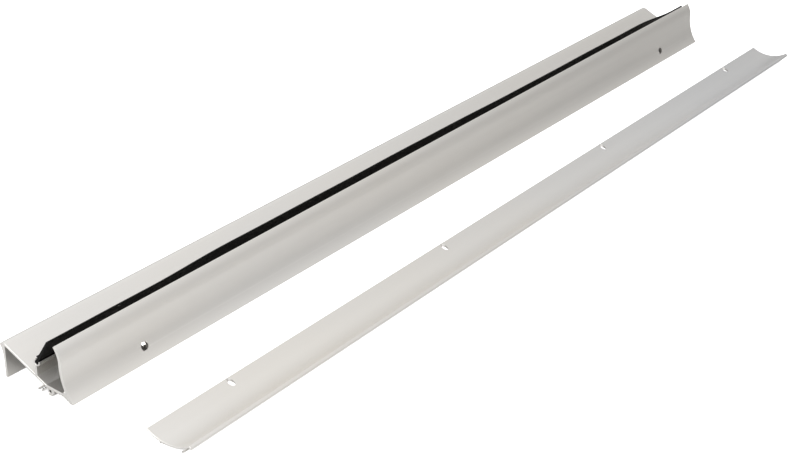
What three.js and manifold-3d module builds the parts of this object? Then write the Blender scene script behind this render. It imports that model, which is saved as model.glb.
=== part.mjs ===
// Door threshold weather set: an aluminium sill with a rubber flap gasket, and the loose
// aluminium rain deflector that goes with it. Both extrusions are as long as a 36 in door is
// wide and lie side by side on the floor, the way they come out of the pack.
//
// Millimetres. +X runs along the door, -Y is the weather side, +Z is up. The origin is on the
// floor, at the middle of the set's footprint.
//
// Each section is drawn looking along the bar, with "across" running from its rear edge
// towards the weather side and "up" measured from the floor.

import * as THREE from 'three';
import { mergeVertices } from 'three/addons/utils/BufferGeometryUtils.js';
import Module from 'manifold-3d';

const wasm = await Module();
wasm.setup();

// ---------------------------------------------------------------- driving dimensions

const length = 914;          // door width, 36 in
const spacing = 65;          // floor between the sill's toe and the deflector's rear edge

const sill = {
  depth: 64.4,               // rear flange face to toe
  wall: 2,
  noseUp: 26.4,              // where the tread's centre line would meet the flange's rear face
  treadSlope: 0.5,           // fall of the tread towards the channel
  bend: 40,                  // where the tread turns into the channel floor
  floorFall: 0.09,
  bendRadius: 4,
};
const nosing = {             // thin edge of the tread that overhangs the flange
  overhang: 2.8,
  hollowRadius: 20,          // its underside, curving out of the flange's rear face
  hollowFrom: 14.3,
  crownRadius: 5,            // its top, curving down from the tread
  crownFrom: 3,
};
const plate = {              // the ogee front plate
  wall: 2.2,
  height: 40.3,
  flareRadius: 43,           // hollow lower half, out to the toe
  flareTop: 26,
  crownRadius: 20,           // upper half, leaning back over the channel
  crownBase: 28,
};
// Across, at the upright middle of the plate's front face.
plate.face = sill.depth - plate.flareRadius + Math.sqrt(plate.flareRadius ** 2 - plate.flareTop ** 2);
const rib = { across: 31.2, wall: 1.8 };
const groove = { across: 32.6, up: 22, bore: 3.5, wall: 1.1, opening: 84 };
const flap = { lean: 30, reach: 20.4, root: 2.4, tip: 1.5, hinge: 5.2 };
const drain = { diameter: 6.5, up: 9.3, fromEnd: 73.5 };

const deflector = {
  width: 38.5,
  wall: 1.5,
  radius: 33.2,              // hollow upper face
  low: 2,                    // lowest line of the hollow, above the floor
  lip: 1.4,                  // down-turned front lip
  lipDrop: 2.6,
};
const screwHole = { diameter: 4.8, fromEdge: 5, fromEnd: 77, count: 4 };

const gap = 0.35;            // clearance between rubber and metal
const sag = 0.02;            // how far a round stretch may stray between two of its points

// ---------------------------------------------------------------- section drawing

const rad = THREE.MathUtils.degToRad;
const deg = THREE.MathUtils.radToDeg;
const point = (across, up) => new THREE.Vector2(across, up);

function arc(centre, radius, from, to) {
  const step = 2 * Math.acos(1 - sag / radius);
  const steps = Math.max(2, Math.ceil(rad(Math.abs(to - from)) / step));
  return Array.from({ length: steps + 1 }, (_, i) => {
    const angle = rad(from + (to - from) * i / steps);
    return point(centre.x + radius * Math.cos(angle), centre.y + radius * Math.sin(angle));
  });
}

// A corner of a centre line, turned into an arc that is tangent to both of its sides.
function roundCorner(before, corner, after, radius) {
  const back = before.clone().sub(corner).normalize();
  const on = after.clone().sub(corner).normalize();
  const half = Math.acos(back.dot(on)) / 2;
  const centre = corner.clone().add(back.clone().add(on).setLength(radius / Math.sin(half)));
  const start = corner.clone().addScaledVector(back, radius / Math.tan(half)).sub(centre);
  const turn = Math.sign(back.cross(on)) * (2 * half - Math.PI);
  const from = Math.atan2(start.y, start.x);
  return arc(centre, radius, deg(from), deg(from + turn));
}

// A wall of even or tapering thickness along a centre line, mitred at its corners.
function wallShape(line, startThickness, endThickness = startThickness) {
  const sides = [1, -1].map((side) => line.map((here, i) => {
    const into = here.clone().sub(line[Math.max(i - 1, 0)]);
    const out = line[Math.min(i + 1, line.length - 1)].clone().sub(here);
    if (into.length() === 0) into.copy(out);
    if (out.length() === 0) out.copy(into);
    into.normalize();
    out.normalize();
    const normal = point(-into.y - out.y, into.x + out.x).normalize();
    const mitre = normal.dot(point(-into.y, into.x));
    const thickness = startThickness + (endThickness - startThickness) * i / (line.length - 1);
    return here.clone().addScaledVector(normal, side * thickness / 2 / mitre);
  }));
  return new THREE.Shape([...sides[0], ...sides[1].reverse()]);
}

const polygon = (...corners) => new THREE.Shape(corners.map(([across, up]) => point(across, up)));
const disc = (across, up, radius) => new THREE.Shape(arc(point(across, up), radius, 0, 360).slice(1));

// ---------------------------------------------------------------- solids

// Turns a section into a bar along X: across becomes -Y and up becomes +Z.
function bar(shape, barLength = length) {
  const geometry = new THREE.ExtrudeGeometry(shape, { depth: barLength, bevelEnabled: false });
  return geometry.translate(0, 0, -barLength / 2).rotateX(Math.PI / 2).rotateZ(-Math.PI / 2);
}

function toSolid(geometry) {
  const plain = geometry.clone();
  plain.deleteAttribute('normal');
  plain.deleteAttribute('uv');
  const merged = mergeVertices(plain, 1e-4);
  return new wasm.Manifold(new wasm.Mesh({
    numProp: 3,
    vertProperties: merged.attributes.position.array,
    triVerts: new Uint32Array(merged.index.array),
  }));
}

function toGeometry(solid) {
  const mesh = solid.getMesh();
  const geometry = new THREE.BufferGeometry();
  geometry.setAttribute('position', new THREE.BufferAttribute(mesh.vertProperties, 3));
  geometry.setIndex(new THREE.BufferAttribute(mesh.triVerts, 1));
  return geometry;
}

const join = (shapes) => shapes.map((shape) => toSolid(bar(shape))).reduce((all, one) => all.add(one));
const cutAll = (solid, cutters) => cutters.reduce((left, one) => left.subtract(toSolid(one)), solid);

function finish(name, geometry, material) {
  geometry.computeVertexNormals();
  const mesh = new THREE.Mesh(geometry, material);
  mesh.name = name;
  return mesh;
}

const aluminium = (color) => new THREE.MeshStandardMaterial({ color, roughness: 0.42, metalness: 0.9 });
const rubber = () => new THREE.MeshStandardMaterial({ color: 0x161515, roughness: 0.7, metalness: 0 });

// ---------------------------------------------------------------- sill

const treadUp = (across) => sill.noseUp - sill.treadSlope * across;
const floorUp = (across) => treadUp(sill.bend) - sill.floorFall * (across - sill.bend);

// Tread and channel floor are one folded sheet.
function sheetLine() {
  const start = point(nosing.crownFrom - 0.5, treadUp(nosing.crownFrom - 0.5));
  const bend = point(sill.bend, treadUp(sill.bend));
  const floorEnd = point(plate.face, floorUp(plate.face));
  return [start, ...roundCorner(start, bend, floorEnd, sill.bendRadius), floorEnd];
}

// The tread's rear edge, which sweeps out of the flange and ends in a thin blunt edge.
function nosingShape() {
  const slope = Math.atan(sill.treadSlope);
  const skin = sill.wall / 2 / Math.cos(slope);
  const { overhang, hollowRadius, hollowFrom, crownRadius, crownFrom } = nosing;
  const crownCentre = point(
    crownFrom - crownRadius * Math.sin(slope),
    treadUp(crownFrom) + skin - crownRadius * Math.cos(slope),
  );
  const hollowEnd = deg(Math.acos(1 - overhang / hollowRadius));
  const crownEnd = deg(Math.acos((-overhang - crownCentre.x) / crownRadius));
  return new THREE.Shape([
    ...arc(point(-hollowRadius, hollowFrom), hollowRadius, 0, hollowEnd),
    ...arc(crownCentre, crownRadius, crownEnd, 90 - deg(slope)),
    point(crownFrom, treadUp(crownFrom) - skin),
    point(sill.wall, treadUp(sill.wall) - skin),
    point(sill.wall / 2, hollowFrom),
  ]);
}

// Front face: a hollow flare up from the toe, a short upright, then a crown leaning back.
function plateLine() {
  const half = plate.wall / 2;
  const flareCentre = point(plate.face + plate.flareRadius, plate.flareTop);
  const crownCentre = point(plate.face - plate.crownRadius, plate.crownBase);
  const toe = deg(Math.asin((plate.flareTop + half) / plate.flareRadius));
  const crown = deg(Math.asin((plate.height - plate.crownBase) / plate.crownRadius));
  return [
    ...arc(flareCentre, plate.flareRadius + half, 180 + toe, 180),
    ...arc(crownCentre, plate.crownRadius - half, 0, crown),
  ];
}

// Solid wedge behind the plate's flare, from the channel floor down to the toe. Its underside
// is notched to key into the sealant.
function toeShape() {
  const notch = { count: 3, depth: 0.8 };
  const under = floorUp(plate.face) - sill.wall / 2;
  const top = under + sill.wall;
  const rear = point(plate.face - 1.5, under + 0.2);
  const down = point(sill.depth - 3.6, 0).sub(rear);
  const inward = point(-down.y, down.x).setLength(notch.depth);
  const underside = Array.from({ length: 2 * notch.count + 1 }, (_, i) => {
    const place = rear.clone().addScaledVector(down, i / (2 * notch.count));
    return i % 2 ? place.add(inward) : place;
  });
  return polygon(
    ...underside.map((place) => place.toArray()),
    [sill.depth - 1.2, 0],
    [plate.face + 4, 5.5],
    [plate.face + 1, top + 2.2],
    [plate.face - 0.4, top + 0.6],
    [plate.face - 1.5, top - 0.2],
  );
}

// Round groove on the rib that grips the gasket's foot, open towards the flap.
function grooveLine() {
  const open = 90 - flap.lean;
  const centre = point(groove.across, groove.up);
  return arc(centre, (groove.bore + groove.wall) / 2, open + groove.opening / 2, open + 360 - groove.opening / 2);
}

// Toothed slot under the bend: two slanting fins with ridges facing each other.
function toothedSlot() {
  const fin = { wall: 0.9, apart: 2.7, slope: 37, ridge: 0.6, firstRidge: 1.45, pitch: 2.85 };
  const down = point(-Math.cos(rad(fin.slope)), -Math.sin(rad(fin.slope)));
  const aside = point(-down.y, down.x);
  const mouth = point(38.4, 5.4);
  const at = (along, off) => mouth.clone().addScaledVector(down, along).addScaledVector(aside, off);
  const shapes = [];
  for (const [side, start, reach] of [[-1, 0, 8], [1, -2, 5.4]]) {
    const off = side * fin.apart / 2;
    shapes.push(wallShape([at(start, off), at(reach, off)], fin.wall));
    for (let along = fin.firstRidge; along < reach; along += fin.pitch) {
      const ridge = at(along, off - side * (fin.wall / 2 + 0.05));
      shapes.push(disc(ridge.x, ridge.y, fin.ridge));
    }
  }
  return shapes;
}

// Foot under the channel floor, with the screw port for an end fixing.
function footShape() {
  const shape = polygon([40.9, 6], [41.3, 0.7], [41.9, 0], [44.4, 0], [46.9, 2.6], [47, 5.4]);
  shape.holes.push(new THREE.Path(arc(point(43.2, 3.6), 1.05, 360, 0).slice(1)));
  return shape;
}

// Fine ridges under the channel floor that key into the bedding sealant.
function keyRidges() {
  return [49, 51.8, 54.6].map((across) => disc(across, floorUp(across) - sill.wall / 2 + 0.1, 0.55));
}

function makeSill() {
  const ribLine = [point(rib.across, treadUp(rib.across)), point(rib.across, groove.up - groove.bore / 2 - 0.3)];
  const solid = join([
    wallShape([point(sill.wall / 2, 0), point(sill.wall / 2, treadUp(nosing.crownFrom))], sill.wall),
    nosingShape(),
    wallShape(sheetLine(), sill.wall),
    wallShape(plateLine(), plate.wall),
    toeShape(),
    wallShape(ribLine, rib.wall),
    wallShape(grooveLine(), groove.wall),
    ...toothedSlot(),
    footShape(),
    ...keyRidges(),
  ]);
  const belowFloor = bar(polygon([0, -5], [sill.depth + 5, -5], [sill.depth + 5, 0], [0, 0]), length + 2);
  const drains = [-1, 1].map((end) => new THREE.CylinderGeometry(drain.diameter / 2, drain.diameter / 2, 16, 32)
    .translate(end * (length / 2 - drain.fromEnd), -plate.face, drain.up));
  return finish('sill', toGeometry(cutAll(solid, [belowFloor, ...drains])), aluminium(0xc9c9cb));
}

// ---------------------------------------------------------------- gasket

const flapDirection = point(Math.sin(rad(flap.lean)), Math.cos(rad(flap.lean)));
const alongFlap = (distance) => point(groove.across, groove.up).addScaledVector(flapDirection, distance);

// Bulb and neck that stay in the groove.
function makeGasketRoot() {
  const bulb = disc(groove.across, groove.up, groove.bore / 2 - gap);
  const neck = wallShape([alongFlap(0), alongFlap(flap.hinge - flap.root / 2 - gap)], 1.6);
  return finish('gasket_root', toGeometry(join([bulb, neck])), rubber());
}

// Blade that the door bends over. Its lower edge is round about the line it bends on.
function makeGasketFlap() {
  const hinge = alongFlap(flap.hinge);
  const blade = wallShape([hinge, alongFlap(flap.reach)], flap.root, flap.tip);
  return finish('gasket_flap', toGeometry(join([blade, disc(hinge.x, hinge.y, flap.root / 2)])), rubber());
}

// ---------------------------------------------------------------- rain deflector

function makeDeflector() {
  const inner = deflector.radius;
  const outer = inner + deflector.wall;
  const dishWidth = deflector.width - deflector.lip;
  const centre = point(dishWidth / 2, deflector.low + inner);
  const halfTurn = deg(Math.asin(dishWidth / 2 / outer));
  const dish = arc(centre, (inner + outer) / 2, 270 - halfTurn, 270 + halfTurn);
  const rootUp = (across) => centre.y - Math.sqrt(outer ** 2 - (across - centre.x) ** 2) + 0.4;

  const crest = centre.y - inner * Math.cos(rad(halfTurn));
  const lip = polygon(
    [dishWidth - 1.3, crest - 0.9],
    [dishWidth - 0.6, crest + 0.1],
    [dishWidth + 0.1, crest + 0.2],
    [deflector.width, crest - 1],
    [deflector.width, crest - deflector.lipDrop],
    [deflector.width - 0.7, crest - deflector.lipDrop],
    [dishWidth - 0.4, crest - 1.7],
  );
  const leg = polygon([29.7, 0], [33.7, rootUp(33.7)], [35.3, rootUp(35.3)], [31.5, 0]);
  const solid = join([
    wallShape(dish, deflector.wall),
    lip,
    leg,
    ...[11.9, 14.4].map((across) => wallShape([point(across, rootUp(across)), point(across, 0)], 0.9)),
  ]);

  const holes = Array.from({ length: screwHole.count }, (_, i) => {
    const pitch = (length - 2 * screwHole.fromEnd) / (screwHole.count - 1);
    const x = screwHole.fromEnd - length / 2 + pitch * i;
    const middle = (inner + outer) / 2;
    const tilt = Math.asin((centre.x - screwHole.fromEdge) / middle);
    return new THREE.CylinderGeometry(screwHole.diameter / 2, screwHole.diameter / 2, 8, 28)
      .rotateX(Math.PI / 2 - tilt)
      .translate(x, -screwHole.fromEdge, centre.y - middle * Math.cos(tilt));
  });
  return finish('rain_deflector', toGeometry(cutAll(solid, holes)), aluminium(0xd2d2d2));
}

// ---------------------------------------------------------------- assembly

const group = new THREE.Group();
const footprint = nosing.overhang + sill.depth + spacing + deflector.width;

const sillSet = new THREE.Group();
sillSet.position.y = footprint / 2 - nosing.overhang;
sillSet.add(makeSill(), makeGasketRoot(), makeGasketFlap());
group.add(sillSet);

const looseDeflector = new THREE.Group();
looseDeflector.position.y = deflector.width - footprint / 2;
looseDeflector.add(makeDeflector());
group.add(looseDeflector);

export default group;
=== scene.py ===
"""Looks for the door threshold weather set: an aluminium sill with a rubber flap gasket, and the
loose aluminium rain deflector that goes with it.

The scene is in metres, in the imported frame: +X along the door, -Y the weather side, +Z up.
Sections are drawn in millimetres, looking along +X: "across" runs towards the weather side, from the
rear face of the sill's flange or from the deflector's rear edge, and "up" is measured from the floor.
"""

import math
from types import SimpleNamespace as Dims

import bmesh
import bpy
import numpy as np
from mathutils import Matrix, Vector
from mathutils.geometry import delaunay_2d_cdt


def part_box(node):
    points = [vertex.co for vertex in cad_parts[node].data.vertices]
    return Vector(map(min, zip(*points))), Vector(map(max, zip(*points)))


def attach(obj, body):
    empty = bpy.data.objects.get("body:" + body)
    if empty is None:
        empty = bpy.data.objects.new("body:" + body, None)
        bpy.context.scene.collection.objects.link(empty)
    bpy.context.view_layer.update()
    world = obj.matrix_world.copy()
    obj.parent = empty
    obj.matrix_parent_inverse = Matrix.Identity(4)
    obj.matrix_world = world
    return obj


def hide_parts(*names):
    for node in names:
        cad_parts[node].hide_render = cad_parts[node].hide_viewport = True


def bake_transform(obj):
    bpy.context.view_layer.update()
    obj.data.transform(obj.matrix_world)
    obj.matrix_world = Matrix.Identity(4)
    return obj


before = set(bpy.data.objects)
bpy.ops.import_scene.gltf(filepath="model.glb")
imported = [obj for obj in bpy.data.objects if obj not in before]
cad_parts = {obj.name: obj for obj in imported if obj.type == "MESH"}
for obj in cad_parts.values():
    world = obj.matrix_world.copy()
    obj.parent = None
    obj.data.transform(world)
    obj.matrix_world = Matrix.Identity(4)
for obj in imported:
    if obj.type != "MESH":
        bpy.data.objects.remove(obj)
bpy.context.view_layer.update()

MM = 0.001

# ---------------------------------------------------------------- driving dimensions, mm

SILL = Dims(depth=64.4, wall=2.0, nose_up=26.4, tread_slope=0.5, bend=40.0, floor_fall=0.09,
            bend_radius=4.0)
NOSING = Dims(overhang=2.8, hollow_radius=20.0, hollow_from=14.3, crown_radius=5.0, crown_from=3.0)
PLATE = Dims(wall=2.2, height=40.3, flare_radius=43.0, flare_top=26.0, crown_radius=20.0, crown_base=28.0)
PLATE.face = SILL.depth - PLATE.flare_radius + math.sqrt(PLATE.flare_radius ** 2 - PLATE.flare_top ** 2)
RIB = Dims(across=31.2, wall=1.8)
GROOVE = Dims(across=32.6, up=22.0, bore=3.5, wall=1.1, opening=84.0)
FLAP = Dims(lean=30.0, reach=20.4, root=2.4, tip=1.5, hinge=5.2, neck=1.6)
DRAIN = Dims(diameter=6.5, up=9.3, from_end=73.5)
DEFLECTOR = Dims(width=38.5, wall=1.5, radius=33.2, low=2.0, lip=1.4, lip_drop=2.6)
SCREW_HOLE = Dims(diameter=4.8, from_edge=5.0, from_end=77.0, count=4)

SAG = 0.003          # how far a round stretch may stray between two of its points
SOFT_EDGE = 0.28     # reach of the rounding on outer edges
SOFT_CORNER = 0.5    # and in inner corners
END_BREAK = 0.3      # chamfer round the sawn ends
HOLE_BREAK = 0.22    # chamfer round the drilled holes
GAP = 0.35           # clearance between rubber and metal
FLAP_CUT = 1.8       # how far the flap's cut ends slant back at its free edge

SKIN, SAWN, DRILLED = SLOTS = range(3)    # material slots of a bar

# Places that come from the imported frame.
sill_low, sill_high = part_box("sill")
DEFLECTOR_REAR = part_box("rain_deflector")[1].y
LENGTH = (sill_high.x - sill_low.x) / MM
SILL_REAR = sill_high.y - NOSING.overhang * MM


# ---------------------------------------------------------------- drawing sections

def unit(vectors):
    return vectors / np.linalg.norm(vectors, axis=-1, keepdims=True)


def left_of(vectors):
    return np.stack((-vectors[..., 1], vectors[..., 0]), axis=-1)


def polar(degrees):
    angle = np.radians(degrees)
    return np.stack((np.cos(angle), np.sin(angle)), axis=-1)


def arc(centre, radius, start, end):
    step = 2 * math.acos(1 - SAG / radius)
    count = max(3, math.ceil(math.radians(abs(end - start)) / step)) + 1
    return np.array(centre) + radius * polar(np.linspace(start, end, count))


def disc(across, up, radius):
    return arc((across, up), radius, 0, 360)[:-1]


def round_corner(before, corner, after, radius):
    """A corner of a centre line, turned into an arc that is tangent to both of its sides."""
    before, corner, after = (np.array(p, float) for p in (before, corner, after))
    back, on = unit(before - corner), unit(after - corner)
    half = math.acos(back @ on) / 2
    centre = corner + unit(back + on) * radius / math.sin(half)
    spoke = corner + back * radius / math.tan(half) - centre
    turn = np.sign(left_of(back) @ on) * (2 * half - math.pi)
    start = math.degrees(math.atan2(spoke[1], spoke[0]))
    return arc(centre, radius, start, start + math.degrees(turn))


def wall(line, start_width, end_width=None):
    """Outline of a wall of even or tapering thickness along a centre line, mitred at its corners."""
    line = np.asarray(line, float)
    end_width = start_width if end_width is None else end_width
    into = unit(np.diff(line, axis=0, prepend=2 * line[:1] - line[1:2]))
    out = unit(np.diff(line, axis=0, append=2 * line[-1:] - line[-2:-1]))
    normal = unit(left_of(into + out))
    mitre = np.sum(normal * left_of(into), axis=1, keepdims=True)
    half = np.linspace(start_width, end_width, len(line))[:, None] / 2
    offset = normal * half / mitre
    return np.vstack((line + offset, (line - offset)[::-1]))


def area(loop):
    x, y = np.asarray(loop).T
    return (x @ np.roll(y, -1) - y @ np.roll(x, -1)) / 2


def union(shapes, cut=()):
    """Boundary loops of the shapes' union less the cuts, with the solid on the left of each loop."""
    inside_only, weld = 1, 1e-5
    points, faces = [], []
    for shape in [*shapes, *cut]:
        loop = shape if area(shape) > 0 else shape[::-1]
        faces.append(list(range(len(points), len(points) + len(loop))))
        points += [Vector(p) for p in loop]
    places, _, triangles, _, _, origins = delaunay_2d_cdt(points, [], faces, inside_only, weld)
    edges = set()
    for triangle, origin in zip(triangles, origins):
        if origin and max(origin) < len(shapes):
            edges |= {(triangle[i - 1], triangle[i]) for i in range(3)}
    follow = {a: b for a, b in edges if (b, a) not in edges}
    loops = []
    while follow:
        here = next(iter(follow))
        loop = []
        while here in follow:
            loop.append(tuple(places[here]))
            here = follow.pop(here)
        loops.append(tidy_loop(np.array(loop)))
    return loops


def tidy_loop(loop, near=0.004, flat=0.05):
    """Drops points that sit on their neighbour, then points that lie on a straight side."""
    loop = loop[np.linalg.norm(loop - np.roll(loop, 1, axis=0), axis=1) > near]
    return loop[np.abs(turns(loop)) > flat]


def turns(loop):
    """Degrees turned at each point of a loop, positive at outer edges."""
    into = unit(loop - np.roll(loop, 1, axis=0))
    out = np.roll(into, -1, axis=0)
    return np.degrees(np.arctan2(np.sum(left_of(into) * out, axis=1), np.sum(into * out, axis=1)))


def soften(loop, sharp=24, steps=5, most=0.46, close=0.01):
    """Rounds a loop's corners that turn more than sharp degrees, with a curve that leaves both sides
    along their direction and takes up at most a given share of a side."""
    count = len(loop)
    turn = turns(loop)
    side = np.linalg.norm(np.roll(loop, -1, axis=0) - loop, axis=1)
    run = np.concatenate(([0], np.cumsum(side)))
    corners = [i for i in range(count) if abs(turn[i]) > sharp]
    if not corners:
        return loop
    stops = np.array([run[i] for i in corners])
    closed = np.vstack((loop, loop[:1]))

    def at(distance):
        distance %= run[-1]
        return np.array([np.interp(distance, run, closed[:, k]) for k in (0, 1)])

    reaches = []
    for k, i in enumerate(corners):
        before = (stops[k] - stops[k - 1]) % run[-1] or run[-1]
        after = (stops[(k + 1) % len(stops)] - stops[k]) % run[-1] or run[-1]
        reaches.append(min(SOFT_EDGE if turn[i] > 0 else SOFT_CORNER, most * before, most * after))
    softened = []
    for k, i in enumerate(corners):
        reach = reaches[k]
        start, corner, end = at(stops[k] - reach), loop[i], at(stops[k] + reach)
        for t in np.linspace(0, 1, steps + 1):
            softened.append((1 - t) ** 2 * start + 2 * t * (1 - t) * corner + t ** 2 * end)
        following = stops[(k + 1) % len(stops)] + (run[-1] if k + 1 == len(stops) else 0)
        free = following - reaches[(k + 1) % len(stops)]
        for j in range(i + 1, i + 1 + count):
            distance = run[j % count] + (run[-1] if j >= count else 0)
            if distance >= free - close:
                break
            if distance > stops[k] + reach + close:
                softened.append(loop[j % count])
    return np.array(softened)


def outward(loop):
    """Outward normal at each point of a loop. The longer side counts for more, so flats stay flat."""
    ahead = np.roll(loop, -1, axis=0) - loop
    size = np.linalg.norm(ahead, axis=1, keepdims=True)
    weighted = -left_of(ahead / size) * size ** 2
    return unit(weighted + np.roll(weighted, 1, axis=0))


# ---------------------------------------------------------------- the two extruded sections

def tread_up(across):
    return SILL.nose_up - SILL.tread_slope * across


def floor_up(across):
    return tread_up(SILL.bend) - SILL.floor_fall * (across - SILL.bend)


def sheet_shapes():
    """Flange, and the tread and channel floor, which are one folded sheet."""
    flange = SILL.wall / 2
    under_nosing = NOSING.crown_from - 0.5
    start = (under_nosing, tread_up(under_nosing))
    bend = (SILL.bend, tread_up(SILL.bend))
    floor_end = (PLATE.face, floor_up(PLATE.face))
    fold = round_corner(start, bend, floor_end, SILL.bend_radius)
    return [
        wall([(flange, 0), (flange, tread_up(NOSING.crown_from))], SILL.wall),
        wall(np.vstack(([start], fold, [floor_end])), SILL.wall),
    ]


def nosing_shape():
    """The tread's rear edge, which sweeps out of the flange and ends in a thin blunt edge."""
    slope = math.atan(SILL.tread_slope)
    skin = SILL.wall / 2 / math.cos(slope)
    start = NOSING.crown_from
    crown = np.array((start, tread_up(start) + skin)) - NOSING.crown_radius * polar(90 - math.degrees(slope))
    hollow_end = math.degrees(math.acos(1 - NOSING.overhang / NOSING.hollow_radius))
    crown_end = math.degrees(math.acos((-NOSING.overhang - crown[0]) / NOSING.crown_radius))
    return np.vstack((
        arc((-NOSING.hollow_radius, NOSING.hollow_from), NOSING.hollow_radius, 0, hollow_end),
        arc(crown, NOSING.crown_radius, crown_end, 90 - math.degrees(slope)),
        [(start, tread_up(start) - skin), (SILL.wall, tread_up(SILL.wall) - skin),
         (SILL.wall / 2, NOSING.hollow_from)],
    ))


def plate_shape():
    """Ogee front plate: a hollow flare up from the toe, a short upright, a crown leaning back."""
    half = PLATE.wall / 2
    toe = math.degrees(math.asin((PLATE.flare_top + half) / PLATE.flare_radius))
    crown = math.degrees(math.asin((PLATE.height - PLATE.crown_base) / PLATE.crown_radius))
    flare_centre = (PLATE.face + PLATE.flare_radius, PLATE.flare_top)
    crown_centre = (PLATE.face - PLATE.crown_radius, PLATE.crown_base)
    return wall(np.vstack((
        arc(flare_centre, PLATE.flare_radius + half, 180 + toe, 180),
        arc(crown_centre, PLATE.crown_radius - half, 0, crown),
    )), PLATE.wall)


def toe_shape():
    """Solid wedge behind the plate's flare, down to the toe. Its underside has keying notches."""
    notches, depth = 3, 0.8
    under = floor_up(PLATE.face) - SILL.wall / 2
    top = under + SILL.wall
    rear = np.array((PLATE.face - 1.5, under + 0.2))
    down = np.array((SILL.depth - 3.6, 0)) - rear
    steps = np.arange(2 * notches + 1)[:, None]
    underside = rear + down * steps / (2 * notches) + unit(left_of(down)) * depth * (steps % 2)
    return np.vstack((underside, [
        (SILL.depth - 1.2, 0),
        (PLATE.face + 4, 5.5),
        (PLATE.face + 1, top + 2.2),
        (PLATE.face - 0.4, top + 0.6),
        (PLATE.face - 1.5, top - 0.2),
    ]))


def groove_shape():
    """Round groove on the rib that grips the gasket's foot, open towards the flap."""
    facing = 90 - FLAP.lean
    half = GROOVE.opening / 2
    middle = (GROOVE.bore + GROOVE.wall) / 2
    return wall(arc((GROOVE.across, GROOVE.up), middle, facing + half, facing + 360 - half), GROOVE.wall)


def toothed_slot():
    """Slot under the bend: two slanting fins with ridges facing each other."""
    fin = Dims(wall=0.9, apart=2.7, slope=37, ridge=0.6, first_ridge=1.45, pitch=2.85)
    mouth = np.array((38.4, 5.4))
    down = -polar(fin.slope)
    shapes = []
    for side, start, reach in ((-1, 0, 8), (1, -2, 5.4)):
        line = mouth + left_of(down) * side * fin.apart / 2
        shapes.append(wall([line + down * start, line + down * reach], fin.wall))
        inner = line - left_of(down) * side * (fin.wall / 2 + 0.05)
        for along in np.arange(fin.first_ridge, reach, fin.pitch):
            shapes.append(disc(*(inner + down * along), fin.ridge))
    return shapes


def sill_loops():
    into_groove = 0.3
    rib_top = GROOVE.up - GROOVE.bore / 2 - into_groove
    rib = wall([(RIB.across, tread_up(RIB.across)), (RIB.across, rib_top)], RIB.wall)
    foot = np.array([(40.9, 6), (41.3, 0.7), (41.9, 0), (44.4, 0), (46.9, 2.6), (47, 5.4)])
    ridge = Dims(first=49, pitch=2.8, count=3, radius=0.55, sunk=0.1)
    ridges_at = ridge.first + ridge.pitch * np.arange(ridge.count)
    key_ridges = [disc(a, floor_up(a) - SILL.wall / 2 + ridge.sunk, ridge.radius) for a in ridges_at]
    shapes = [*sheet_shapes(), nosing_shape(), plate_shape(), toe_shape(), rib, groove_shape(),
              *toothed_slot(), foot, *key_ridges]
    screw_port = disc(43.2, 3.6, 1.05)
    margin, deep = 5, -9
    below_floor = np.array([(-margin, deep), (SILL.depth + margin, deep), (SILL.depth + margin, 0),
                            (-margin, 0)])
    return [soften(loop) for loop in union(shapes, cut=[screw_port, below_floor])]


def dish():
    """The deflector's hollow: centre of its arcs, their radii, and half the angle they span."""
    outer = DEFLECTOR.radius + DEFLECTOR.wall
    width = DEFLECTOR.width - DEFLECTOR.lip
    return Dims(across=width / 2, up=DEFLECTOR.low + DEFLECTOR.radius, width=width, outer=outer,
                middle=DEFLECTOR.radius + DEFLECTOR.wall / 2,
                half_turn=math.degrees(math.asin(width / 2 / outer)))


def deflector_loops():
    bowl = dish()
    shell = wall(arc((bowl.across, bowl.up), bowl.middle, 270 - bowl.half_turn, 270 + bowl.half_turn),
                 DEFLECTOR.wall)
    crest = bowl.up - DEFLECTOR.radius * math.cos(math.radians(bowl.half_turn))
    lip = np.array([
        (bowl.width - 1.3, crest - 0.9),
        (bowl.width - 0.6, crest + 0.1),
        (bowl.width + 0.1, crest + 0.2),
        (DEFLECTOR.width, crest - 1),
        (DEFLECTOR.width, crest - DEFLECTOR.lip_drop),
        (DEFLECTOR.width - 0.7, crest - DEFLECTOR.lip_drop),
        (bowl.width - 0.4, crest - 1.7),
    ])

    def under(across, overlap=0.4):
        """Just inside the shell's underside."""
        return bowl.up - math.sqrt(bowl.outer ** 2 - (across - bowl.across) ** 2) + overlap

    leg = np.array([(29.7, 0), (33.7, under(33.7)), (35.3, under(35.3)), (31.5, 0)])
    rails_at, rail_wall = (11.9, 14.4), 0.9
    rails = [wall([(a, under(a)), (a, 0)], rail_wall) for a in rails_at]
    return [soften(loop) for loop in union([shell, lip, leg, *rails])]


# ---------------------------------------------------------------- meshes

def new_object(name, mesh):
    made = bpy.data.objects.new(name, mesh)
    bpy.context.scene.collection.objects.link(made)
    return made


def add_slots(mesh):
    for _ in SLOTS:
        mesh.materials.append(None)


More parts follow.
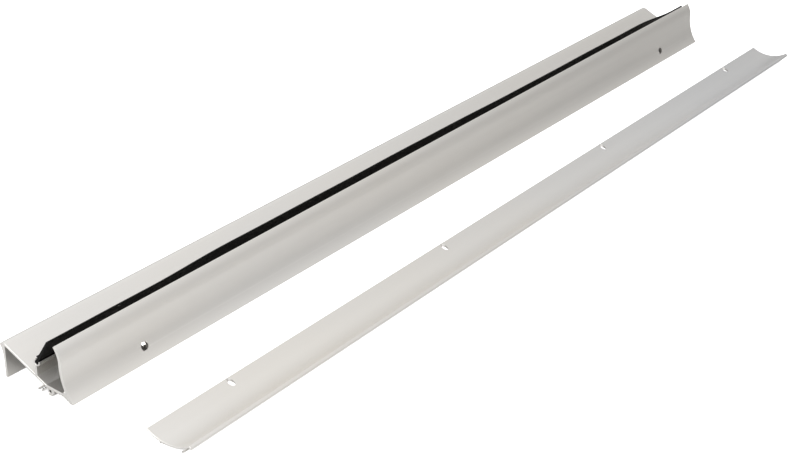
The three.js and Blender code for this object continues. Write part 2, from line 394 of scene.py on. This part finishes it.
def bar_mesh(name, loops, rear, hole_stations):
    """Extrudes loops along X, with rings of edges a little way off each hole."""
    half = LENGTH / 2
    off_hole = 6
    around_holes = [x + side for x in hole_stations for side in (-off_hole, off_hole)]
    stations = sorted([-half + END_BREAK, half - END_BREAK, *around_holes])
    rings = [(-half, END_BREAK), *((x, 0) for x in stations), (half, END_BREAK)]
    bm = bmesh.new()
    ends = []
    for loop in loops:
        normal = outward(loop)
        circles = []
        for x, inset in rings:
            places = loop - normal * inset
            circles.append([bm.verts.new((x * MM, rear - a * MM, u * MM)) for a, u in places])
        for ring, following in zip(circles, circles[1:]):
            for i in range(len(ring)):
                j = (i + 1) % len(ring)
                face = bm.faces.new((ring[i], following[i], following[j], ring[j]))
                face.smooth = True
        ends.append((circles[0], circles[-1]))
    for which, facing in ((0, -1), (1, 1)):
        edges = []
        for pair in ends:
            ring = pair[which]
            edges += [bm.edges.get((ring[i - 1], ring[i])) for i in range(len(ring))]
        filled = bmesh.ops.triangle_fill(bm, use_beauty=True, edges=edges)
        for face in filled["geom"]:
            if isinstance(face, bmesh.types.BMFace):
                face.normal_update()
                if face.normal.x * facing < 0:
                    face.normal_flip()
                face.material_index = SAWN
    mesh = bpy.data.meshes.new(name)
    bm.to_mesh(mesh)
    bm.free()
    return mesh


def drill(target, holes, diameter):
    """Cuts round holes with a small broken edge."""
    segments, depth = 48, 9
    bm = bmesh.new()
    for centre, axis in holes:
        turn = Vector((0, 0, 1)).rotation_difference(axis).to_matrix().to_4x4()
        turn.translation = centre
        radius = diameter / 2 * MM
        bmesh.ops.create_cone(bm, cap_ends=True, segments=segments, radius1=radius, radius2=radius,
                              depth=depth * MM, matrix=turn)
    for face in bm.faces:
        face.material_index = DRILLED
        face.smooth = True
    mesh = bpy.data.meshes.new("drill")
    bm.to_mesh(mesh)
    bm.free()
    add_slots(mesh)
    cutter = new_object("drill", mesh)
    cut = target.modifiers.new("drill", "BOOLEAN")
    cut.operation = "DIFFERENCE"
    cut.solver = "EXACT"
    cut.object = cutter
    graph = bpy.context.evaluated_depsgraph_get()
    cut_mesh = bpy.data.meshes.new_from_object(target.evaluated_get(graph))
    target.modifiers.clear()
    target.data = cut_mesh
    bpy.data.objects.remove(cutter)

    bm = bmesh.new()
    bm.from_mesh(cut_mesh)
    rims = [e for e in bm.edges if {f.material_index for f in e.link_faces} == {SKIN, DRILLED}]
    bmesh.ops.bevel(bm, geom=rims, offset=HOLE_BREAK * MM, segments=1, affect="EDGES", material=DRILLED,
                    clamp_overlap=True)
    bm.to_mesh(cut_mesh)
    bm.free()


def set_bar_normals(obj, loops, rear):
    """Gives the skin the section's own normals, so that long thin faces shade cleanly, and the sawn
    ends and their chamfers flat ones."""
    mesh = obj.data
    starts = np.vstack(loops)
    ends = np.vstack([np.roll(loop, -1, axis=0) for loop in loops])
    start_normals = np.vstack([outward(loop) for loop in loops])
    end_normals = np.vstack([np.roll(outward(loop), -1, axis=0) for loop in loops])
    side = ends - starts
    length_squared = np.sum(side ** 2, axis=1)

    co = np.array([v.co for v in mesh.vertices])
    place = np.column_stack(((rear - co[:, 1]) / MM, co[:, 2] / MM))
    skin_normals = np.zeros((len(co), 3))
    for k, p in enumerate(place):
        t = np.clip(np.sum((p - starts) * side, axis=1) / length_squared, 0, 1)
        near = np.argmin(np.sum((starts + side * t[:, None] - p) ** 2, axis=1))
        normal = start_normals[near] * (1 - t[near]) + end_normals[near] * t[near]
        skin_normals[k] = (0, -normal[0], normal[1])

    custom = [corner.vector.copy() for corner in mesh.corner_normals]
    for polygon in mesh.polygons:
        runs_along = abs(polygon.normal.x) < 0.2
        skin = polygon.material_index == SKIN and runs_along
        for i in polygon.loop_indices:
            vertex = mesh.loops[i].vertex_index
            if skin:
                custom[i] = Vector(skin_normals[vertex]).normalized()
            elif polygon.material_index != DRILLED:
                custom[i] = polygon.normal.copy()
    mesh.normals_split_custom_set(custom)


def make_bar(name, loops, rear, holes, diameter):
    stations = [centre.x / MM for centre, _ in holes]
    bar = new_object(name, bar_mesh(name, loops, rear, stations))
    add_slots(bar.data)
    drill(bar, holes, diameter)
    bar.data.set_sharp_from_angle(angle=math.radians(35))
    set_bar_normals(bar, loops, rear)
    return bar


def drain_holes():
    """Centre and axis of each hole in the front plate."""
    axis = Vector((0, 1, 0))
    from_middle = LENGTH / 2 - DRAIN.from_end
    y = SILL_REAR - PLATE.face * MM
    return [(Vector((x * MM, y, DRAIN.up * MM)), axis) for x in (-from_middle, from_middle)]


def screw_holes():
    """Centre and axis of each hole along the deflector's rear edge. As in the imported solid, the
    axes lean towards that edge and aren't square to the dished shell."""
    bowl = dish()
    tilt = math.asin((bowl.across - SCREW_HOLE.from_edge) / bowl.middle)
    y = DEFLECTOR_REAR - SCREW_HOLE.from_edge * MM
    z = (bowl.up - bowl.middle * math.cos(tilt)) * MM
    first = SCREW_HOLE.from_end - LENGTH / 2
    places = np.linspace(first, -first, SCREW_HOLE.count)
    return [(Vector((x * MM, y, z)), Vector((0, math.sin(tilt), math.cos(tilt)))) for x in places]


# ---------------------------------------------------------------- gasket

def smooth_step(x, start, end):
    t = np.clip((x - start) / (end - start), 0, 1)
    return t * t * (3 - 2 * t)


def flap_extra_lean(x):
    """Degrees the flap leans past its drawn angle, x mm from the -X end: a slight lift along the
    first half and a droop over the last stretch."""
    most_lift, most_droop = 6.5, 16
    lift = most_lift * smooth_step(x, 100, 180) * (1 - smooth_step(x, 380, 650))
    droop = most_droop * smooth_step(x, 818, 892)
    ripple = 0.5 * np.sin(x / 41) + 0.35 * np.sin(x / 17.3 + 1.1)
    return droop - lift + ripple


def gasket_loops():
    """Section in the flap's own axes: sideways (positive to the weather side), then along it."""
    neck, root, tip = FLAP.neck / 2, FLAP.root / 2, FLAP.tip / 2
    neck_end, shoulder = 3.1, 4.3
    blade = np.vstack((
        [(neck, 0), (neck, neck_end), (root, shoulder)],
        arc((0, FLAP.reach - tip), tip, 0, 180),
        [(-root, shoulder), (-neck, neck_end), (-neck, 0)],
    ))
    bulb = disc(0, 0, GROOVE.bore / 2 - GAP)
    sealing_lip = wall([(-0.4, 4.6), (-1.4, 4.4), (-2.2, 3.9)], 1.0, 0.7)
    return [soften(loop) for loop in union([blade, bulb, sealing_lip])]


def densify(loop, longest):
    """Splits long sides, so that the blade can bend along its height."""
    split = []
    for here, ahead in zip(loop, np.roll(loop, -1, axis=0)):
        count = max(1, math.ceil(np.linalg.norm(ahead - here) / longest))
        split += [here + (ahead - here) * i / count for i in range(count)]
    return np.array(split)


def cut_slant(x):
    """How far the flap's free edge is set back along X, x mm from the middle. It is only so near
    the two cut ends."""
    half, fades_over = LENGTH / 2, 12
    return math.copysign(FLAP_CUT, x) * smooth_step(abs(x), half - fades_over, half)


def gasket_ring(x, loop, inset):
    """Places of the gasket's section x mm from the middle, bent to the lean it has there."""
    before_hinge, past_hinge = 1.2, 5
    spine = np.linspace(0, FLAP.reach, 80)
    bending = smooth_step(spine, FLAP.hinge - before_hinge, FLAP.hinge + past_hinge)
    lean = np.radians(FLAP.lean + flap_extra_lean(x + LENGTH / 2) * bending)
    steps = np.column_stack((np.sin(lean), np.cos(lean))) * np.diff(spine, prepend=0)[:, None]
    middle = np.array((GROOVE.across, GROOVE.up)) + np.cumsum(steps, axis=0)
    ring = []
    for sideways, along in loop - outward(loop) * inset:
        angle = np.interp(along, spine, lean)
        past_ends = min(along, 0) + max(along - FLAP.reach, 0)
        centre = np.array([np.interp(along, spine, middle[:, k]) for k in (0, 1)])
        centre += past_ends * np.array((math.sin(angle), math.cos(angle)))
        across, up = centre + sideways * np.array((math.cos(angle), -math.sin(angle)))
        slant = cut_slant(x) * max(along, 0) / FLAP.reach
        ring.append(((x - slant) * MM, SILL_REAR - across * MM, up * MM))
    return ring


def make_gasket():
    half = LENGTH / 2
    end_break, end_inset, count = 0.3, 0.12, 110
    longest_side = 1.3
    loop = densify(gasket_loops()[0], longest_side)
    stations = [-half, *np.linspace(-half + end_break, half - end_break, count), half]
    bm = bmesh.new()
    rings = []
    for x in stations:
        inset = end_inset if abs(x) == half else 0
        rings.append([bm.verts.new(place) for place in gasket_ring(x, loop, inset)])
    for ring, following in zip(rings, rings[1:]):
        for i in range(len(ring)):
            j = (i + 1) % len(ring)
            bm.faces.new((ring[i], following[i], following[j], ring[j]))
    for ring in (rings[0], rings[-1]):
        rim = [bm.edges.get((ring[i - 1], ring[i])) for i in range(len(ring))]
        bmesh.ops.triangle_fill(bm, use_beauty=True, edges=rim)
    bmesh.ops.recalc_face_normals(bm, faces=bm.faces)
    for face in bm.faces:
        face.smooth = True
    mesh = bpy.data.meshes.new("gasket")
    bm.to_mesh(mesh)
    bm.free()
    mesh.set_sharp_from_angle(angle=math.radians(40))
    return new_object("gasket", mesh)


# ---------------------------------------------------------------- materials

def node(tree, kind, inputs=None, **settings):
    """Adds a node. Inputs are given by name or number, as a value or as another node's output."""
    made = tree.nodes.new(kind)
    for name, value in settings.items():
        setattr(made, name, value)
    for key, value in (inputs or {}).items():
        if isinstance(value, bpy.types.NodeSocket):
            tree.links.new(value, made.inputs[key])
        else:
            made.inputs[key].default_value = value
    return made


def maths(tree, operation, *values):
    return node(tree, "ShaderNodeMath", dict(enumerate(values)), operation=operation).outputs[0]


def stretch(tree, low, high, value):
    """Maps 0..1 to low..high."""
    return node(tree, "ShaderNodeMapRange", {"Value": value, "To Min": low, "To Max": high}).outputs[0]


def grain(tree, scale, detail=3.0, roughness=0.6, contrast=None):
    """Noise with its own scale per axis, in features per metre."""
    place = node(tree, "ShaderNodeTexCoord").outputs["Object"]
    scaled = node(tree, "ShaderNodeMapping", {"Vector": place, "Scale": scale}).outputs[0]
    noise = node(tree, "ShaderNodeTexNoise", {
        "Vector": scaled, "Scale": 1.0, "Detail": detail, "Roughness": roughness}).outputs[0]
    if contrast is None:
        return noise
    return node(tree, "ShaderNodeMapRange", {
        "Value": noise, "From Min": contrast[0], "From Max": contrast[1]}).outputs[0]


def new_material(name):
    material = bpy.data.materials.new(name)
    material.use_nodes = True
    material.node_tree.nodes.clear()
    return material, material.node_tree


def shade(tree, shader):
    node(tree, "ShaderNodeOutputMaterial", {"Surface": shader})


def blend_colours(tree, factor, first, second):
    mixed = node(tree, "ShaderNodeMix", data_type="RGBA")
    for socket, value in (("Factor_Float", factor), ("A_Color", first), ("B_Color", second)):
        target = next(s for s in mixed.inputs if s.identifier == socket)
        if isinstance(value, bpy.types.NodeSocket):
            tree.links.new(value, target)
        else:
            target.default_value = value
    return next(s for s in mixed.outputs if s.identifier == "Result_Color")


def grey(value, warmth=0.0):
    """Grey of a value, with red raised and blue lowered by the warmth."""
    return (value * (1 + warmth), value * (1 + 0.25 * warmth), value * (1 - warmth), 1)


def extruded_metal(name, tone, roughness, haze, far_warmth):
    """Satin extruded aluminium: fine die lines and soft bands along X, slight clouding, a painted highlight
    on sharp edges and painted shade in deep corners.
    The haze is its matt share. The tint is warm and clouded at the -X end and even at the +X end, where
    far_warmth sets it."""
    material, tree = new_material(name)
    lines = grain(tree, (2.5, 1500, 1500), detail=4, roughness=0.65)
    bands = grain(tree, (0.7, 150, 150), detail=2)
    clouds = grain(tree, (5, 22, 22), detail=4)
    scuffs = grain(tree, (260, 900, 900), detail=3, contrast=(0.66, 0.74))

    # Painted highlight: sharp edges (high pointiness) are blended half way towards near white.
    edge = node(tree, "ShaderNodeNewGeometry").outputs["Pointiness"]
    edge_highlight_mask = node(tree, "ShaderNodeMapRange", {"Value": edge, "From Min": 0.52, "From Max": 0.6}).outputs[0]

    dark, light = tone * 0.94, tone * 1.05
    depth = maths(tree, "ADD", maths(tree, "MULTIPLY", lines, 0.4), maths(tree, "MULTIPLY", bands, 0.6))
    plain = blend_colours(tree, depth, grey(dark, 0.042), grey(light, 0.038))
    tint = grain(tree, (4, 9, 9), detail=1, contrast=(0.35, 0.65))
    tinted = blend_colours(tree, tint, grey(tone, 0.06), grey(tone * 0.99, 0.012))
    near_end = blend_colours(tree, stretch(tree, 0.1, 0.6, clouds), plain, tinted)
    place = node(tree, "ShaderNodeTexCoord").outputs["Object"]
    along = node(tree, "ShaderNodeSeparateXYZ", {0: place}).outputs["X"]
    to_far_end = node(tree, "ShaderNodeMapRange", {
        "Value": along, "From Min": -0.05, "From Max": 0.3}).outputs[0]
    far_end = blend_colours(tree, depth, grey(dark, far_warmth), grey(light, far_warmth))
    clouded = blend_colours(tree, to_far_end, near_end, far_end)
    painted_edge_highlight = grey(0.93, 0.03)
    colour = blend_colours(tree, maths(tree, "MULTIPLY", edge_highlight_mask, 0.5), clouded, painted_edge_highlight)
    # Painted shade: where ambient occlusion finds faces within 25 mm, the colour is blended towards a dark
    # grey, darkening the channel and the corners.
    painted_corner_shade = grey(tone * 0.2, 0.06)
    open_sky = node(tree, "ShaderNodeAmbientOcclusion", {"Distance": 0.025}, samples=8, only_local=True)
    openness = node(tree, "ShaderNodeMapRange", {
        "Value": open_sky.outputs["AO"], "From Min": 0.08, "From Max": 0.5}).outputs[0]
    shaded = blend_colours(tree, openness, painted_corner_shade, colour)

    rough = maths(tree, "ADD", stretch(tree, roughness - 0.05, roughness + 0.07, lines),
                  maths(tree, "MULTIPLY", scuffs, 0.06))
    bump = node(tree, "ShaderNodeBump", {
        "Height": maths(tree, "ADD", lines, maths(tree, "MULTIPLY", bands, 2.0)),
        "Strength": 0.35, "Distance": 0.00002}).outputs[0]
    normal = node(tree, "ShaderNodeNewGeometry").outputs["Normal"]
    across_lines = node(tree, "ShaderNodeVectorMath", {0: normal, 1: (1, 0, 0)}, operation="CROSS_PRODUCT")
    shade(tree, node(tree, "ShaderNodeBsdfPrincipled", {
        "Base Color": shaded, "Metallic": 1 - haze, "Roughness": rough, "Anisotropic": 0.45,
        "Tangent": across_lines.outputs[0], "Normal": bump}).outputs[0])
    return material


def sawn_metal(name, tone):
    """Saw-cut end: bright metal with shallow arcs left by the blade, and painted shade darkening it
    within 0.6 mm of the skin, so that thin fins and walls read dark."""
    material, tree = new_material(name)
    blade_centre = (0, -0.09, 0.16)
    place = node(tree, "ShaderNodeTexCoord").outputs["Object"]
    from_blade = node(tree, "ShaderNodeVectorMath", {0: place, 1: blade_centre}, operation="SUBTRACT")
    rings = node(tree, "ShaderNodeTexWave", {
        "Vector": from_blade.outputs[0], "Scale": 420.0, "Distortion": 1.5, "Detail": 3.0},
        wave_type="RINGS", rings_direction="X").outputs["Fac"]
    fine = grain(tree, (900, 900, 900), detail=4)
    cut = blend_colours(tree, rings, grey(tone * 0.94, 0.03), grey(tone * 1.03, 0.03))
    # Painted shade: the cut face is darkened to 0.4 of its tone within 0.6 mm of the skin.
    painted_rim_shade = Dims(reach=0.6 * MM, colour=grey(tone * 0.4, 0.03))
    from_skin = node(tree, "ShaderNodeAmbientOcclusion", {"Distance": painted_rim_shade.reach}, samples=8,
                     inside=True, only_local=True).outputs["AO"]
    colour = blend_colours(tree, from_skin, painted_rim_shade.colour, cut)
    bump = node(tree, "ShaderNodeBump", {
        "Height": maths(tree, "ADD", rings, fine), "Strength": 0.4, "Distance": 0.00003}).outputs[0]
    shade(tree, node(tree, "ShaderNodeBsdfPrincipled", {
        "Base Color": colour, "Metallic": 0.85, "Roughness": stretch(tree, 0.38, 0.52, fine),
        "Normal": bump}).outputs[0])
    return material


def drilled_metal(name, tone):
    """Inside of a drilled hole: bright, with rings left by the drill."""
    material, tree = new_material(name)
    rings = grain(tree, (500, 2500, 500), detail=2)
    bump = node(tree, "ShaderNodeBump", {"Height": rings, "Strength": 0.4, "Distance": 0.00003}).outputs[0]
    shade(tree, node(tree, "ShaderNodeBsdfPrincipled", {
        "Base Color": blend_colours(tree, rings, grey(tone * 0.9, 0.03), grey(tone * 1.05, 0.03)),
        "Metallic": 1.0, "Roughness": stretch(tree, 0.25, 0.4, rings), "Normal": bump}).outputs[0])
    return material


def gasket_rubber(name):
    """Black extruded rubber: fine grain, faint lines along X and a little dust."""
    material, tree = new_material(name)
    skin = grain(tree, (2600, 2600, 2600), detail=4)
    lines = grain(tree, (3, 1800, 1800), detail=3)
    dust = grain(tree, (420, 900, 900), detail=5, contrast=(0.6, 0.78))
    haze = grain(tree, (14, 120, 120), detail=3)
    black, softer_black, dust_colour = grey(0.003, 0.05), grey(0.006, 0.05), grey(0.12, 0.03)
    base = blend_colours(tree, lines, black, softer_black)
    dusty = maths(tree, "MULTIPLY", dust, stretch(tree, 0.05, 0.35, haze))
    colour = blend_colours(tree, dusty, base, dust_colour)
    height = maths(tree, "ADD", skin, maths(tree, "MULTIPLY", lines, 1.5))
    bump = node(tree, "ShaderNodeBump", {"Height": height, "Strength": 0.45, "Distance": 0.00004}).outputs[0]
    rough = maths(tree, "ADD", stretch(tree, 0.42, 0.6, haze), maths(tree, "MULTIPLY", dusty, 0.3))
    shade(tree, node(tree, "ShaderNodeBsdfPrincipled", {
        "Base Color": colour, "Roughness": rough, "Specular IOR Level": 0.16, "Normal": bump}).outputs[0])
    return material


# ---------------------------------------------------------------- pieces

def put_on(obj, *materials):
    """Fills the object's material slots in order, adding slots where it has too few."""
    for i, material in enumerate(materials):
        if i < len(obj.data.materials):
            obj.data.materials[i] = material
        else:
            obj.data.materials.append(material)


sawn = sawn_metal("sawn_aluminium", 0.84)
drilled = drilled_metal("drilled_aluminium", 0.88)

sill = make_bar("sill_extrusion", sill_loops(), SILL_REAR, drain_holes(), DRAIN.diameter)
sill_skin = extruded_metal("sill_aluminium", 0.84, 0.33, haze=0.2, far_warmth=0.042)
put_on(sill, sill_skin, sawn, drilled)
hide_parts("sill")
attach(sill, "sill")

deflector = make_bar("deflector_extrusion", deflector_loops(), DEFLECTOR_REAR, screw_holes(),
                     SCREW_HOLE.diameter)
deflector_skin = extruded_metal("deflector_aluminium", 0.84, 0.36, haze=0.1, far_warmth=0.004)
put_on(deflector, deflector_skin, sawn, drilled)
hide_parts("rain_deflector")
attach(deflector, "deflector")

gasket = make_gasket()
put_on(gasket, gasket_rubber("gasket_rubber"))
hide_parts("gasket_root", "gasket_flap")
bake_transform(gasket)


# ---------------------------------------------------------------- floor, light and camera

def make_floor():
    """Plain white floor. It is overexposed to the camera, so only deep shade shows on it, while the
    metal reflects a softer white with a painted falloff: its colour darkens towards the far end in place of
    light falling off."""
    bm = bmesh.new()
    bmesh.ops.create_grid(bm, x_segments=1, y_segments=1, size=20)
    mesh = bpy.data.meshes.new("floor")
    bm.to_mesh(mesh)
    bm.free()
    floor = new_object("floor", mesh)
    material, tree = new_material("floor_white")
    seen = node(tree, "ShaderNodeLightPath").outputs["Is Camera Ray"]
    along = node(tree, "ShaderNodeSeparateXYZ", {0: node(tree, "ShaderNodeTexCoord").outputs["Object"]})
    # Painted falloff: the colour the metal reflects darkens from 0.82 to 0.42 towards +X, standing in for
    # light falling off.
    painted_falloff = node(tree, "ShaderNodeMapRange", {
        "Value": along.outputs["X"], "From Min": -0.45, "From Max": 0.75}).outputs[0]
    white = Dims(near_end=0.82, far_end=0.42, to_camera=1.3, glow=0.7)
    soft = blend_colours(tree, painted_falloff, grey(white.near_end), grey(white.far_end))
    paper = blend_colours(tree, seen, soft, grey(white.to_camera))
    diffuse = node(tree, "ShaderNodeBsdfDiffuse", {"Color": paper}).outputs[0]
    shining = maths(tree, "MULTIPLY", seen, white.glow)
    glow = node(tree, "ShaderNodeEmission", {"Strength": shining}).outputs[0]
    shade(tree, node(tree, "ShaderNodeAddShader", {0: diffuse, 1: glow}).outputs[0])
    mesh.materials.append(material)


def make_world():
    """Soft studio dome: brightest overhead, dark at both ends near the horizon, white to the camera."""
    overhead, sideways, endways, brightest = 1.13, 0.6, -0.12, 0.95
    world = bpy.data.worlds.new("studio")
    world.use_nodes = True
    bpy.context.scene.world = world
    tree = world.node_tree
    tree.nodes.clear()
    way = node(tree, "ShaderNodeTexCoord").outputs["Generated"]
    parts = node(tree, "ShaderNodeSeparateXYZ", {0: way}).outputs
    rise = maths(tree, "MULTIPLY", maths(tree, "MAXIMUM", parts["Z"], 0.0), overhead)
    sides = maths(tree, "MULTIPLY", maths(tree, "ABSOLUTE", parts["Y"]), sideways)
    ends = maths(tree, "MULTIPLY", maths(tree, "ABSOLUTE", parts["X"]), endways)
    light = maths(tree, "ADD", maths(tree, "ADD", rise, sides), ends)
    soft = node(tree, "ShaderNodeClamp", {"Value": light, "Min": 0.0, "Max": brightest}).outputs[0]
    seen = node(tree, "ShaderNodeLightPath").outputs["Is Camera Ray"]
    unseen = maths(tree, "SUBTRACT", 1.0, seen)
    strength = maths(tree, "ADD", maths(tree, "MULTIPLY", soft, unseen), seen)
    dome = node(tree, "ShaderNodeBackground", {"Color": grey(1), "Strength": strength}).outputs[0]
    node(tree, "ShaderNodeOutputWorld", {"Surface": dome})


def aim(obj, target):
    obj.rotation_euler = (Vector(target) - obj.location).to_track_quat("-Z", "Y").to_euler()


def area_light(name, place, target, size, power):
    data = bpy.data.lights.new(name, "AREA")
    data.shape = "RECTANGLE"
    data.size, data.size_y = size
    data.energy = power
    light = new_object(name, data)
    light.location = place
    aim(light, target)


def light_drain_hole():
    """Small lamp in the channel, on the stretch of floor that the camera sees through the near
    drain hole, as if daylight reached it."""
    cone, watts, bulb_radius = 40, 0.03, 1
    above, on_floor = Vector((5.2, 4.5, 4)), Vector((5.7, 4.5, -4.3))
    hole = drain_holes()[0][0]
    data = bpy.data.lights.new("hole_light", "SPOT")
    data.spot_size = math.radians(cone)
    data.spot_blend = 0.4
    data.shadow_soft_size = bulb_radius * MM
    data.energy = watts
    lamp = new_object("hole_light", data)
    lamp.location = hole + above * MM
    aim(lamp, hole + on_floor * MM)


def make_camera():
    """Long lens, looking down from the -X end on the weather side."""
    camera = new_object("camera", bpy.data.cameras.new("camera"))
    target = Vector((-0.111, 0.007, 0))
    azimuth, elevation, distance = math.radians(-54.36), math.radians(25.14), 1.3015
    back = Vector((math.sin(azimuth) * math.cos(elevation), -math.cos(azimuth) * math.cos(elevation),
                   math.sin(elevation)))
    camera.location = target + back * distance
    aim(camera, target)
    camera.data.sensor_width = 36
    camera.data.lens = 73.28
    bpy.context.scene.camera = camera


make_floor()
make_world()
area_light("key", place=(-1.5, -0.2, 1.2), target=(-0.35, 0, 0), size=(0.9, 0.9), power=7.5)
light_drain_hole()
make_camera()
bpy.context.scene.view_settings.view_transform = "Standard"
